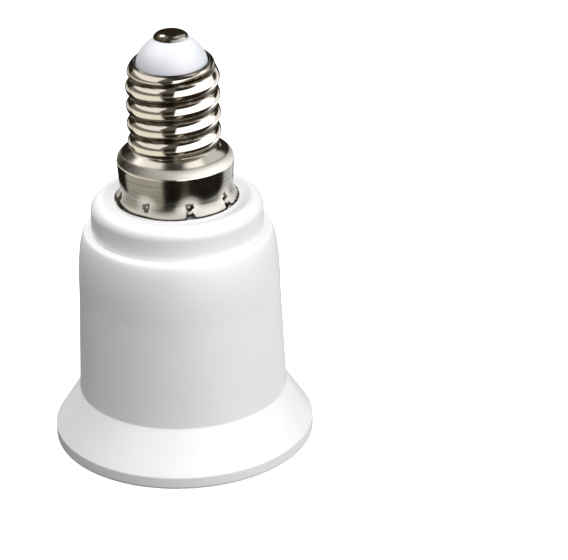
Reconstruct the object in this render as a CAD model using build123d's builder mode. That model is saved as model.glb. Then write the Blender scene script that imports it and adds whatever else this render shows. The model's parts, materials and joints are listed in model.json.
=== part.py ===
from build123d import *
from math import cos, radians, sin
import os

os.makedirs("parts", exist_ok=True)

# White housing outside, millimetres, mouth rim on z = 0, its width led by the lamp socket inside
rim_flare = 3.95
rim_band = 1.85
flare_height = 6.05
barrel_taper = 0.65
barrel_height = 15.9
shoulder_draw = 1.3
shoulder_height = 9.75
ring_step = 1.0
ring_height = 4.95
ring_round = 1.7
dish_depth = 0.4
dish_start = 0.15
edge_round = 0.35

# White housing inside
rim_face = 1.7
housing_wall = 1.4
socket_play = 0.12
throat_ledge = 0.45
ring_wall = 1.6
ring_top_thickness = 1.9
seat_drop = 1.3
neck_height = 5.1
neck_wall = 1.5

# Carrier plate at the bottom of the socket, with its key and snap lugs
plate_thickness = 2.2
plate_play = 0.1
key_width = 3.0
key_depth = 1.2
key_play = 0.15
key_azimuth = 135.0
lug_reach = 0.75
lug_height = 1.1
lug_width = 4.0
lug_azimuths = (78.0, 180.0, 282.0)
rib_width = 0.9
rib_height = 0.8
rib_length = 3.0
rib_play = 0.1

# Lamp socket thread E27, sheet brass
socket_thread_minor = 24.5
socket_thread_depth = 1.05
socket_pitch = 3.629
socket_sheet = 0.28
socket_groove_mouth = 1.9
socket_groove_floor = 0.9
socket_thread_height = 12.2
socket_rim_drop = 1.75
leg_step = 0.7
leg_half_angle = 61.0
leg_collar = 1.0
foot_length = 4.4
foot_bend = 1.1

# Centre contact leaf, spring brass
leaf_sheet = 0.35
leaf_width = 6.0
leaf_tip_width = 4.4
leaf_rise = 3.1
leaf_pad = 3.4
leaf_tip_turn = 0.7
leaf_tip_run = 1.1
leaf_tail = 2.2
leaf_foot = 2.6
leaf_bend = 0.8

# Rivets and leads
rivet_inset = 3.95
rivet_shank = 2.4
rivet_head = 4.0
rivet_head_height = 0.95
rivet_flare = 3.5
rivet_flare_height = 0.6
wire_diameter = 0.7
sleeve_diameter = 1.3
wire_fold = 2.4
fold_azimuth = 37.5
wire_play = 0.05
lead_start = 2.2
lead_drop = 1.4
lead_bend = 2.0
sleeve_back = 1.2

# Screw cap E14, nickel plated sheet
cap_thread_major = 13.76
cap_thread_depth = 0.68
cap_pitch = 2.822
cap_sheet = 0.25
cap_ridge_foot = 2.3
cap_ridge_crest = 0.8
ridge_embed = 0.1
cap_crest_drop = 2.46
cap_collar = 1.73
cap_skirt_height = 6.05
cap_edge_round = 1.5
cap_cone_height = 2.35
cap_skirt_draw = 0.08
cap_belly_height = 3.1
cap_waist_pull = 0.46
cap_waist_height = 1.1
cap_hem_splay = 1.0
cap_seat_margin = 0.12
cap_barrel_height = 15.2
cap_turn_height = 1.3
cap_turn_in = 1.68
crimp_count = 8
crimp_azimuth = 15.0
crimp_radius = 0.45

# Insulator and contact of the cap
dome_height = 3.45
dome_bulge = 0.4
plug_depth = 2.6
nail_head = 5.1
nail_head_height = 1.1
nail_rim = 0.35
nail_shank = 2.0
nail_length = 5.2

# Levels along the axis
z_flare = rim_band + flare_height
z_barrel = z_flare + barrel_height
z_step = z_barrel + shoulder_height
z_ring = z_step + ring_height
z_neck = z_ring + neck_height
z_under = z_ring - ring_top_thickness
z_seat = z_step - seat_drop
z_floor = z_seat - plate_thickness
z_rim = z_flare + socket_rim_drop
z_thread_end = z_rim + socket_thread_height
z_window = z_thread_end + leg_collar
z_wire = z_seat + wire_diameter / 2
z_crimp = z_ring + cap_waist_height
z_belly = z_ring + cap_belly_height
z_skirt = z_ring + cap_skirt_height
z_cone = z_skirt + cap_cone_height
z_cap = z_skirt + cap_barrel_height
z_contact = z_cap + dome_height

# Radii that more than one piece shares, from the lamp's thread outwards and from the cap's thread outwards
minor_radius = socket_thread_minor / 2
major_radius = minor_radius + socket_thread_depth
leg_radius = minor_radius + leg_step
barrel_bore = major_radius + socket_sheet + socket_play
top_radius = barrel_bore + housing_wall
foot_radius = top_radius + barrel_taper
rim_radius = foot_radius + rim_flare
throat_bore = foot_radius - housing_wall
shoulder_radius = top_radius - shoulder_draw
ring_radius = shoulder_radius - ring_step
ring_bore = ring_radius - ring_wall
seat_bore = barrel_bore - 2 * plate_play
plate_radius = seat_bore - plate_play
rivet_offset = leg_radius - rivet_inset
foot_chord = rivet_offset - foot_length
leaf_bend_offset = rivet_offset - leaf_foot
crest_radius = cap_thread_major / 2
root_radius = crest_radius - cap_thread_depth
barrel_radius = crest_radius + cap_sheet / 2
mouth_radius = crest_radius - cap_turn_in
skirt_radius = crest_radius + cap_collar
belly_radius = skirt_radius - cap_skirt_draw
waist_radius = skirt_radius - cap_waist_pull
hem_radius = waist_radius + cap_hem_splay
seat_radius = hem_radius + cap_seat_margin
neck_radius = waist_radius - cap_sheet
neck_bore = neck_radius - neck_wall
shank_radius = rivet_shank / 2
hook_radius = shank_radius + wire_diameter / 2
crimp_wall = crimp_radius + cap_sheet
run_radius = neck_bore - sleeve_diameter / 2 - wire_play
groove_radius = neck_radius - wire_diameter
fold_radius = (neck_radius - wire_diameter / 2 - run_radius) / 2
slot_radius = nail_shank / 2 + wire_diameter / 2
fold_x = cos(radians(fold_azimuth))
fold_y = sin(radians(fold_azimuth))


def threaded_core(root, crest, foot_half, crest_half, pitch, start, turns):
    """Round core with one right-hand ridge, both ends of the ridge inside the core's length."""
    with BuildPart() as core:
        with BuildLine() as path:
            Helix(pitch, turns * pitch, crest, center=(0, 0, start))
        with BuildSketch(Plane.XZ):
            with BuildLine():
                Polyline(
                    (root - ridge_embed, start - foot_half),
                    (crest, start - crest_half),
                    (crest, start + crest_half),
                    (root - ridge_embed, start + foot_half),
                    close=True,
                )
            make_face()
        sweep(path=path.line, is_frenet=True)
        with Locations((0, 0, start - 2 * pitch)):
            Cylinder(root, (turns + 4) * pitch, align=(Align.CENTER, Align.CENTER, Align.MIN))
    return core.part


def cap_skirt(inset):
    """Solid inside the cap's skirt sheet, the sheet's outer face for no inset."""
    with BuildPart() as skirt:
        with BuildSketch(Plane.XZ):
            with BuildLine():
                hem = TangentArc((waist_radius - inset, z_crimp), (hem_radius - inset, z_ring), tangent=(0, -1))
                pinch = TangentArc(
                    hem @ 0,
                    ((waist_radius + belly_radius) / 2 - inset, (z_crimp + z_belly) / 2),
                    tangent=(0, 1),
                )
                belly = TangentArc(pinch @ 1, (belly_radius - inset, z_belly), tangent=pinch % 1)
                side = Line(belly @ 1, (skirt_radius - inset, z_skirt - inset / 2))
                edge = ThreePointArc(
                    side @ 1,
                    (skirt_radius - inset - cap_edge_round * 0.12, z_skirt - inset / 2 + cap_edge_round * 0.62),
                    (skirt_radius - inset - cap_edge_round * 0.47, z_skirt - inset / 2 + cap_edge_round),
                )
                cone = Line(edge @ 1, (root_radius - inset, z_cone - inset / 2))
                Polyline(cone @ 1, (0, z_cone - inset / 2), (0, z_ring), hem @ 1)
            make_face()
        revolve(axis=Axis.Z)
    return skirt.part


def cap_barrel(inset, start):
    """Round space that the cap's thread keeps inside, with the turned-in top."""
    with BuildPart() as barrel:
        with BuildSketch(Plane.XZ):
            with BuildLine():
                side = Line((barrel_radius - inset, start), (barrel_radius - inset, z_cap - cap_turn_height - inset))
                turn = ThreePointArc(
                    side @ 1,
                    (
                        mouth_radius + (barrel_radius - inset - mouth_radius) * 0.72,
                        z_cap - inset - cap_turn_height * 0.34,
                    ),
                    (mouth_radius, z_cap - inset),
                )
                Polyline(turn @ 1, (0, z_cap - inset), (0, start), side @ 0)
            make_face()
        revolve(axis=Axis.Z)
    return barrel.part


# Housing: bell mouth, barrel, shoulder, ring and neck in one white moulding
with BuildPart() as housing:
    with BuildSketch(Plane.XZ):
        with BuildLine():
            Polyline(
                (rim_radius - rim_face, 0),
                (rim_radius, 0),
                (rim_radius, rim_band),
                (foot_radius, z_flare),
                (top_radius, z_barrel),
            )
            EllipticalCenterArc(
                (shoulder_radius, z_barrel),
                top_radius - shoulder_radius,
                shoulder_height,
                start_angle=0,
                arc_size=90,
            )
            Polyline(
                (shoulder_radius, z_step),
                (ring_radius, z_step),
                (ring_radius, z_ring),
                (ring_radius - ring_round - dish_start, z_ring),
                (seat_radius, z_ring - dish_depth),
                (seat_radius, z_ring),
                (neck_radius, z_ring),
                (neck_radius, z_neck),
                (neck_bore, z_neck),
                (neck_bore, z_under),
                (ring_bore, z_under),
                (ring_bore, z_seat),
                (seat_bore, z_seat),
                (barrel_bore, z_barrel),
                (throat_bore, z_flare + throat_ledge),
                (throat_bore + throat_ledge, z_flare),
                (rim_radius - rim_face, 0),
            )
        make_face()
    revolve(axis=Axis.Z)
    circles = housing.edges().filter_by(GeomType.CIRCLE)
    fillet(
        circles.filter_by(lambda e: abs(e.radius - ring_radius) < 0.01 and abs(e.arc_center.Z - z_ring) < 0.01),
        ring_round,
    )
    circles = housing.edges().filter_by(GeomType.CIRCLE)
    fillet(
        circles.filter_by(lambda e: e.radius > rim_radius - rim_face - 0.01 and e.arc_center.Z < rim_band + 0.01)
        + circles.filter_by(lambda e: abs(e.radius - shoulder_radius) < 0.01 and e.arc_center.Z > z_barrel + 1)
        + circles.filter_by(lambda e: abs(e.radius - foot_radius) < 0.01),
        edge_round,
    )
    # Snap lugs that hold the carrier plate against its seat
    with BuildSketch(Plane.XZ.offset(-lug_width / 2)):
        with BuildLine():
            Polyline(
                (seat_bore + housing_wall / 2, z_floor),
                (seat_bore - lug_reach, z_floor),
                (seat_bore - lug_reach, z_floor - lug_height / 2),
                (seat_bore + housing_wall / 2, z_floor - lug_height * 3),
                close=True,
            )
        make_face()
    lug = extrude(amount=lug_width, mode=Mode.PRIVATE)
    for azimuth in lug_azimuths:
        add(lug.rotate(Axis.Z, azimuth))
    # Key that stops the plate from turning
    with Locations(Location((0, 0, z_seat), (0, 0, key_azimuth))):
        with Locations((seat_bore - key_depth, 0, 0)):
            Box(
                key_depth + housing_wall / 2,
                key_width,
                plate_thickness,
                align=(Align.MIN, Align.CENTER, Align.MAX),
            )
    # Dents that the crimps press into the neck
    with Locations((0, 0, z_crimp)):
        with PolarLocations(waist_radius, crimp_count, crimp_azimuth):
            Cylinder(
                crimp_wall,
                crimp_wall,
                rotation=(0, -90, 0),
                align=(Align.CENTER, Align.CENTER, Align.MIN),
                mode=Mode.SUBTRACT,
            )
    # Groove on the neck under the folded end of the lead
    with Locations(Location((0, 0, z_neck - wire_fold), (0, 0, fold_azimuth))):
        with Locations((groove_radius, 0, 0)):
            Box(
                wire_diameter * 2,
                wire_diameter,
                neck_height,
                align=(Align.MIN, Align.CENTER, Align.MIN),
                mode=Mode.SUBTRACT,
            )
housing.part.label = "housing"
export_step(housing.part, "parts/housing.step")

# Carrier plate that closes the socket and takes both rivets
with BuildPart() as carrier_plate:
    with BuildSketch(Plane.XY.offset(z_floor)):
        Circle(plate_radius)
        with Locations(Location((0, 0, 0), (0, 0, key_azimuth))):
            with Locations((seat_bore - key_depth - key_play, 0)):
                Rectangle(
                    key_depth * 2,
                    key_width + 2 * key_play,
                    align=(Align.MIN, Align.CENTER),
                    mode=Mode.SUBTRACT,
                )
        with Locations((rivet_offset, 0), (-rivet_offset, 0)):
            Circle(shank_radius, mode=Mode.SUBTRACT)
    extrude(amount=plate_thickness)
    # Ribs beside the leaf's foot that keep it from turning on its rivet
    with Locations(
        (-rivet_offset, (leaf_width + rib_width) / 2 + rib_play, z_floor),
        (-rivet_offset, -(leaf_width + rib_width) / 2 - rib_play, z_floor),
    ):
        Box(rib_length, rib_width, rib_height, align=(Align.CENTER, Align.CENTER, Align.MAX))
carrier_plate.part.label = "carrier_plate"
export_step(carrier_plate.part, "parts/carrier_plate.step")

# Lamp socket: drawn brass cup with a rolled thread, one wide leg and a riveted foot
socket_turns = socket_thread_height / socket_pitch + 2
window_reach = 2 * rim_radius
socket_outside = threaded_core(
    minor_radius + socket_sheet,
    major_radius + socket_sheet,
    socket_groove_mouth / 2 + socket_sheet,
    socket_groove_floor / 2 + socket_sheet / 2,
    socket_pitch,
    z_rim - socket_pitch,
    socket_turns,
)
socket_inside = threaded_core(
    minor_radius,
    major_radius,
    socket_groove_mouth / 2,
    socket_groove_floor / 2,
    socket_pitch,
    z_rim - socket_pitch,
    socket_turns,
)
with BuildPart() as socket_shell:
    add(socket_outside)
    with Locations((0, 0, z_rim)):
        Cylinder(
            rim_radius,
            socket_thread_height,
            align=(Align.CENTER, Align.CENTER, Align.MIN),
            mode=Mode.INTERSECT,
        )
    add(socket_inside, mode=Mode.SUBTRACT)
    # Step under the thread, the plain cup below it and the bend of the foot
    with BuildSketch(Plane.XZ):
        with BuildLine():
            Polyline(
                (minor_radius, z_thread_end),
                (major_radius + socket_sheet, z_thread_end),
                (major_radius + socket_sheet, z_thread_end + socket_sheet),
                (leg_radius + socket_sheet, z_thread_end + socket_sheet),
                (leg_radius + socket_sheet, z_floor - foot_bend - socket_sheet),
            )
            ThreePointArc(
                (leg_radius + socket_sheet, z_floor - foot_bend - socket_sheet),
                (
                    leg_radius - foot_bend + (foot_bend + socket_sheet) * cos(radians(45)),
                    z_floor - (foot_bend + socket_sheet) * (1 - sin(radians(45))),
                ),
                (leg_radius - foot_bend, z_floor),
            )
            Polyline(
                (leg_radius - foot_bend, z_floor),
                (0, z_floor),
                (0, z_floor - socket_sheet),
                (leg_radius - foot_bend, z_floor - socket_sheet),
            )
            ThreePointArc(
                (leg_radius - foot_bend, z_floor - socket_sheet),
                (
                    leg_radius - foot_bend * (1 - cos(radians(45))),
                    z_floor - socket_sheet - foot_bend * (1 - sin(radians(45))),
                ),
                (leg_radius, z_floor - socket_sheet - foot_bend),
            )
            Polyline(
                (leg_radius, z_floor - socket_sheet - foot_bend),
                (leg_radius, z_thread_end + socket_sheet),
                (minor_radius, z_thread_end + socket_sheet),
                (minor_radius, z_thread_end),
            )
        make_face()
    revolve(axis=Axis.Z)
    # Window round all but the leg, and the straight end of the foot
    with BuildSketch(Plane.XY.offset(z_window)):
        with BuildLine():
            Polyline(
                (0, 0),
                (window_reach * cos(radians(leg_half_angle)), window_reach * sin(radians(leg_half_angle))),
                (-window_reach, window_reach),
                (-window_reach, -window_reach),
                (window_reach * cos(radians(leg_half_angle)), -window_reach * sin(radians(leg_half_angle))),
                close=True,
            )
        make_face()
        with Locations((foot_chord, 0)):
            Rectangle(window_reach, 2 * window_reach, align=(Align.MAX, Align.CENTER))
    extrude(amount=z_seat - z_window, mode=Mode.SUBTRACT)
    with Locations((rivet_offset, 0, z_floor)):
        Cylinder(shank_radius, 4 * socket_sheet, mode=Mode.SUBTRACT)
socket_shell.part.label = "socket_shell"
export_step(socket_shell.part, "parts/socket_shell.step")

# Centre contact: one folded spring leaf
with BuildPart() as centre_contact:
    with BuildSketch(Plane.XZ):
        with BuildLine():
            FilletPolyline(
                (-rivet_offset - leaf_tail, z_floor),
                (-leaf_bend_offset, z_floor),
                (-leaf_pad / 2, z_floor - leaf_rise),
                (leaf_pad / 2, z_floor - leaf_rise),
                (leaf_pad / 2 + leaf_tip_run, z_floor - leaf_rise + leaf_tip_turn),
                radius=leaf_bend,
            )
            offset(amount=leaf_sheet, side=Side.RIGHT)
        make_face()
    extrude(amount=leaf_width / 2, both=True)
    with BuildSketch(Plane.XY.offset(z_floor - 2 * leaf_rise)):
        with BuildLine():
            Polyline(
                (-rivet_offset - leaf_tail, leaf_width / 2),
                (-leaf_bend_offset, leaf_width / 2),
                (leaf_pad / 2 + 2 * leaf_tip_run, leaf_tip_width / 2),
                (leaf_pad / 2 + 2 * leaf_tip_run, -leaf_tip_width / 2),
                (-leaf_bend_offset, -leaf_width / 2),
                (-rivet_offset - leaf_tail, -leaf_width / 2),
                close=True,
            )
        make_face()
        with Locations((-rivet_offset, 0)):
            Circle(shank_radius, mode=Mode.SUBTRACT)
    extrude(amount=3 * leaf_rise, mode=Mode.INTERSECT)
centre_contact.part.label = "centre_contact"
export_step(centre_contact.part, "parts/centre_contact.step")

# Rivet through the socket's foot, its tail flared over the lead
with BuildPart() as shell_rivet:
    with BuildSketch(Plane.XZ):
        with BuildLine():
            TangentArc(
                (0, z_floor - socket_sheet - rivet_head_height),
                (rivet_head / 2, z_floor - socket_sheet),
                tangent=(1, 0),
            )
            Polyline(
                (rivet_head / 2, z_floor - socket_sheet),
                (shank_radius, z_floor - socket_sheet),
                (shank_radius, z_seat + wire_diameter),
                (rivet_flare / 2, z_seat + wire_diameter),
                (rivet_flare / 2, z_seat + wire_diameter + rivet_flare_height / 2),
                (shank_radius, z_seat + wire_diameter + rivet_flare_height),
                (0, z_seat + wire_diameter + rivet_flare_height),
                (0, z_floor - socket_sheet - rivet_head_height),
            )
        make_face()
    revolve(axis=Axis.Z)
shell_rivet.part = shell_rivet.part.translate((rivet_offset, 0, 0))
shell_rivet.part.label = "shell_rivet"
export_step(shell_rivet.part, "parts/shell_rivet.step")

# Rivet through the leaf's foot
with BuildPart() as contact_rivet:
    with BuildSketch(Plane.XZ):
        with BuildLine():
            TangentArc(
                (0, z_floor - leaf_sheet - rivet_head_height),
                (rivet_head / 2, z_floor - leaf_sheet),
                tangent=(1, 0),
            )
            Polyline(
                (rivet_head / 2, z_floor - leaf_sheet),
                (shank_radius, z_floor - leaf_sheet),
                (shank_radius, z_seat + wire_diameter),
                (rivet_flare / 2, z_seat + wire_diameter),
                (rivet_flare / 2, z_seat + wire_diameter + rivet_flare_height / 2),
                (shank_radius, z_seat + wire_diameter + rivet_flare_height),
                (0, z_seat + wire_diameter + rivet_flare_height),
                (0, z_floor - leaf_sheet - rivet_head_height),
            )
        make_face()
    revolve(axis=Axis.Z)
contact_rivet.part = contact_rivet.part.translate((-rivet_offset, 0, 0))
contact_rivet.part.label = "contact_rivet"
export_step(contact_rivet.part, "parts/contact_rivet.step")

# Lead from the socket's rivet, folded over the neck under the cap's skirt
with BuildLine() as shell_hook:
    CenterArc((rivet_offset, 0, z_wire), hook_radius, 210, 240)
with BuildLine() as shell_run:
    FilletPolyline(
        shell_hook.line @ 1,
        (rivet_offset - lead_start, hook_radius, z_wire),
        (run_radius * fold_x, run_radius * fold_y, z_under - lead_drop),
        (run_radius * fold_x, run_radius * fold_y, z_neck - sleeve_back),
        radius=(lead_bend, lead_bend),
    )
with BuildLine() as shell_fold:
    rise = Line(shell_run.line @ 1, (run_radius * fold_x, run_radius * fold_y, z_neck))
    over = ThreePointArc(
        rise @ 1,
        (
            (run_radius + fold_radius) * fold_x,
            (run_radius + fold_radius) * fold_y,
            z_neck + fold_radius,
        ),
        ((run_radius + 2 * fold_radius) * fold_x, (run_radius + 2 * fold_radius) * fold_y, z_neck),
    )
    Line(over @ 1, over @ 1 - Vector(0, 0, wire_fold))
with BuildPart() as shell_lead_wire:
    with BuildLine() as shell_route:
        add(shell_hook.line)
        add(shell_run.line)
        add(shell_fold.line)
    with BuildSketch(Plane(shell_hook.line @ 0, z_dir=shell_hook.line % 0)):
        Circle(wire_diameter / 2)
    sweep(path=shell_route.line)
shell_lead_wire.part.label = "shell_lead_wire"
export_step(shell_lead_wire.part, "parts/shell_lead_wire.step")

with BuildPart() as shell_lead_sleeve:
    with BuildLine() as shell_sleeve_path:
        add(shell_run.wire().edges().sort_by(shell_run.wire())[2:])
    with BuildSketch(Plane(shell_sleeve_path.line @ 0, z_dir=shell_sleeve_path.line % 0)):
        Circle(sleeve_diameter / 2)
        Circle(wire_diameter / 2, mode=Mode.SUBTRACT)
    sweep(path=shell_sleeve_path.line)
shell_lead_sleeve.part.label = "shell_lead_sleeve"
export_step(shell_lead_sleeve.part, "parts/shell_lead_sleeve.step")

# Lead from the centre contact's rivet up to the cap's contact
with BuildLine() as tip_hook:
    CenterArc((-rivet_offset, 0, z_wire), hook_radius, 30, 240)
with BuildLine() as tip_run:
    FilletPolyline(
        tip_hook.line @ 1,
        (-rivet_offset + lead_start, -hook_radius, z_wire),
        (-2 * slot_radius, -slot_radius / 2, z_ring),
        (-slot_radius, 0, z_cone + cap_pitch),
        (-slot_radius, 0, z_cap - plug_depth - sleeve_back),
        radius=(lead_bend, 4 * lead_bend, 10 * lead_bend),
    )
with BuildPart() as tip_lead_wire:
    with BuildLine() as tip_route:
        add(tip_hook.line)
        add(tip_run.line)
        Line(tip_run.line @ 1, (-slot_radius, 0, z_contact))
    with BuildSketch(Plane(tip_hook.line @ 0, z_dir=tip_hook.line % 0)):
        Circle(wire_diameter / 2)
    sweep(path=tip_route.line)
tip_lead_wire.part.label = "tip_lead_wire"
export_step(tip_lead_wire.part, "parts/tip_lead_wire.step")

with BuildPart() as tip_lead_sleeve:
    with BuildLine() as tip_sleeve_path:
        add(tip_run.wire().edges().sort_by(tip_run.wire())[2:])
    with BuildSketch(Plane(tip_sleeve_path.line @ 0, z_dir=tip_sleeve_path.line % 0)):
        Circle(sleeve_diameter / 2)
        Circle(wire_diameter / 2, mode=Mode.SUBTRACT)
    sweep(path=tip_sleeve_path.line)
tip_lead_sleeve.part.label = "tip_lead_sleeve"
export_step(tip_lead_sleeve.part, "parts/tip_lead_sleeve.step")

# Screw cap: thread, sloping collar, waisted skirt with its splayed hem and ring of crimps
cap_start = z_cap - cap_crest_drop - 5 * cap_pitch
cap_turns = (z_cap - cap_start) / cap_pitch + 1
cap_outside = threaded_core(
    root_radius,
    crest_radius,
    cap_ridge_foot / 2,
    cap_ridge_crest / 2,
    cap_pitch,
    cap_start,
    cap_turns,
)
cap_inside = threaded_core(
    root_radius - cap_sheet,
    crest_radius - cap_sheet,
    cap_ridge_foot / 2 - cap_sheet,
    cap_ridge_crest / 2 - cap_sheet / 2,
    cap_pitch,
    cap_start,
    cap_turns,
)
cap_outline = cap_barrel(0, z_skirt)
cap_cavity = cap_barrel(cap_sheet, z_skirt - cap_sheet)
with BuildPart() as cap_hollow:
    add(cap_inside)
    add(cap_cavity, mode=Mode.INTERSECT)
with BuildPart() as cap_shell:
    add(cap_outside)
    add(cap_outline, mode=Mode.INTERSECT)
    add(cap_skirt(0))
    add(cap_skirt(cap_sheet), mode=Mode.SUBTRACT)
    add(cap_hollow.part, mode=Mode.SUBTRACT)
    with Locations((0, 0, z_cap)):
        Cylinder(mouth_radius, 4 * cap_sheet, mode=Mode.SUBTRACT)
    with Locations((0, 0, z_crimp)):
        with PolarLocations(waist_radius - cap_sheet / 4, crimp_count, crimp_azimuth):
            Cylinder(
                crimp_wall,
                crimp_wall - cap_sheet / 4,
                rotation=(0, -90, 0),
                align=(Align.CENTER, Align.CENTER, Align.MIN),
            )
        with PolarLocations(waist_radius + cap_sheet, crimp_count, crimp_azimuth):
            Cone(
                crimp_radius,
                crimp_radius / 3,
                crimp_radius + cap_sheet,
                rotation=(0, -90, 0),
                align=(Align.CENTER, Align.CENTER, Align.MIN),
                mode=Mode.SUBTRACT,
            )
cap_shell.part.label = "cap_shell"
export_step(cap_shell.part, "parts/cap_shell.step")

# White insulator moulded into the top of the cap
with BuildPart() as cap_insulator:
    add(cap_cavity)
    with Locations((0, 0, z_cap)):
        Cylinder(
            root_radius - cap_sheet,
            plug_depth,
            align=(Align.CENTER, Align.CENTER, Align.MAX),
            mode=Mode.INTERSECT,
        )
    with BuildSketch(Plane.XZ):
        with BuildLine():
            Polyline((0, z_cap - cap_sheet), (mouth_radius, z_cap - cap_sheet), (mouth_radius, z_cap))
            ThreePointArc(
                (mouth_radius, z_cap),
                (
                    (mouth_radius + nail_head / 2) / 2 + dome_bulge,
                    (z_cap + z_contact) / 2 + dome_bulge * 0.7,
                ),
                (nail_head / 2, z_contact),
            )
            Polyline((nail_head / 2, z_contact), (0, z_contact), (0, z_cap - cap_sheet))
        make_face()
    revolve(axis=Axis.Z)
    with Locations((0, 0, z_contact)):
        Cylinder(
            nail_shank / 2,
            dome_height + 2 * plug_depth,
            align=(Align.CENTER, Align.CENTER, Align.MAX),
            mode=Mode.SUBTRACT,
        )
        Box(
            slot_radius + wire_diameter / 2,
            wire_diameter,
            2 * (dome_height + 2 * plug_depth),
            align=(Align.MAX, Align.CENTER, Align.CENTER),
            mode=Mode.SUBTRACT,
        )
cap_insulator.part.label = "cap_insulator"
export_step(cap_insulator.part, "parts/cap_insulator.step")

# Contact nail pressed into the insulator over the end of the lead
with BuildPart() as cap_contact:
    with BuildSketch(Plane.XZ):
        with BuildLine():
            Polyline(
                (0, z_contact - nail_length),
                (nail_shank / 4, z_contact - nail_length),
                (nail_shank / 2, z_contact - nail_length + nail_shank / 2),
                (nail_shank / 2, z_contact),
                (nail_head / 2, z_contact),
                (nail_head / 2, z_contact + nail_rim),
            )
            TangentArc(
                (0, z_contact + nail_head_height),
                (nail_head / 2, z_contact + nail_rim),
                tangent=(1, 0),
            )
            Line((0, z_contact + nail_head_height), (0, z_contact - nail_length))
        make_face()
    revolve(axis=Axis.Z)
cap_contact.part.label = "cap_contact"
export_step(cap_contact.part, "parts/cap_contact.step")
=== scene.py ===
"""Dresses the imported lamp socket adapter: finishes, rolled cap, spring leaf, studio and camera."""

from __future__ import annotations

import json
import logging
import math
from dataclasses import dataclass, field
from enum import Enum
from typing import Any, Mapping, Sequence, Union

import bmesh
import bpy
import numpy as np
from mathutils import Matrix, Vector

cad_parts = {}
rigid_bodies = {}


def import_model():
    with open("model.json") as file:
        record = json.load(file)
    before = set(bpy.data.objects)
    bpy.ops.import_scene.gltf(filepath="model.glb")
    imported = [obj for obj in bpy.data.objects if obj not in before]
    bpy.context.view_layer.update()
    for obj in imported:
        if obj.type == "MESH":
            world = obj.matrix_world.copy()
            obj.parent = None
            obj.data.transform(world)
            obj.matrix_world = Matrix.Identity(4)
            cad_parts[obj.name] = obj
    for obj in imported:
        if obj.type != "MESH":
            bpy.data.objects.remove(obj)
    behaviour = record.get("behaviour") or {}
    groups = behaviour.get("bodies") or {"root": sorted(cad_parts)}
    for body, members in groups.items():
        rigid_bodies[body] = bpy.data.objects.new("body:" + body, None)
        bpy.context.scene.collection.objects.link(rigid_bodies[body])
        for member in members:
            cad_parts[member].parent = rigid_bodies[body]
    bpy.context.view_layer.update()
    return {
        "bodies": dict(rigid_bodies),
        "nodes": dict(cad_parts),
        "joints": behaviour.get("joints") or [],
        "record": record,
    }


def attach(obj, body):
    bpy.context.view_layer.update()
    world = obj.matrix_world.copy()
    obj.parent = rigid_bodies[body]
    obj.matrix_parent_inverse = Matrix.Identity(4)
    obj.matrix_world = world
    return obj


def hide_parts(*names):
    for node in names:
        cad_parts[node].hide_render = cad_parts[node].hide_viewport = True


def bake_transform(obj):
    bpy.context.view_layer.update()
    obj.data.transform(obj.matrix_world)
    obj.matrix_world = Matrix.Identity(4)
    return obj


LOG = logging.getLogger("adapter")
MM = 0.001
Pair = tuple[float, float]
Triple = tuple[float, float, float]
Colour = Triple
Marks = Mapping[str, np.ndarray]
Operand = Union["Signal", float, int]


class Body(str, Enum):
    """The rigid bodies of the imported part."""

    ADAPTER = "adapter"
    LEAF = "contact_leaf"


class Signal:
    """One output socket of a shader node, with arithmetic that adds Math nodes."""

    def __init__(self, graph: "NodeGraph", socket: bpy.types.NodeSocket) -> None:
        """Keeps the socket and the graph that new nodes go into."""
        self.graph = graph
        self.socket = socket

    def _math(self, operation: str, *values: Operand) -> "Signal":
        """Result of one Math node on plain values or signals, in order."""
        return self.graph.node("ShaderNodeMath", {"operation": operation}, dict(enumerate(values)))

    def __add__(self, other: Operand) -> "Signal":
        """Sum of two values."""
        return self._math("ADD", self, other)

    __radd__ = __add__

    def __rsub__(self, other: Operand) -> "Signal":
        """Difference with a plain number on the left."""
        return self._math("SUBTRACT", other, self)

    def __mul__(self, other: Operand) -> "Signal":
        """Product of two values."""
        return self._math("MULTIPLY", self, other)

    __rmul__ = __mul__

    def __neg__(self) -> "Signal":
        """The value with its sign turned."""
        return self._math("MULTIPLY", self, -1.0)

    def arcsine(self) -> "Signal":
        """Arc sine of the value, in radians."""
        return self._math("ARCSINE", self)

    def angle_to(self, other: "Signal") -> "Signal":
        """Angle of the point (other, self) round the origin, in radians."""
        return self._math("ARCTAN2", self, other)

    def at_most(self, other: Operand) -> "Signal":
        """The smaller of two values."""
        return self._math("MINIMUM", self, other)

    def rise(self, low: float, high: float) -> "Signal":
        """Smooth step from 0 at low to 1 at high, or down if high is the smaller.

        Args:
            low: Value where the step starts.
            high: Value where the step ends.

        Returns:
            A value from 0 to 1.
        """
        settings = {"interpolation_type": "SMOOTHSTEP", "clamp": True}
        if high > low:
            feeds = {"Value": self, "From Min": low, "From Max": high}
            return self.graph.node("ShaderNodeMapRange", settings, feeds)
        return 1.0 - self.rise(high, low)

    def band(self, low: float, high: float, soft: float) -> "Signal":
        """Smooth band that is 1 between low and high.

        Args:
            low: Lower edge.
            high: Upper edge.
            soft: Width of each edge.

        Returns:
            A value from 0 to 1.
        """
        half = soft / 2
        return self.rise(low - half, low + half) * self.rise(high + half, high - half)


Feed = Union[Signal, float, int, Sequence[float]]
Settings = Mapping[str, Any]
Feeds = Mapping[Union[str, int], Feed]


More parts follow.
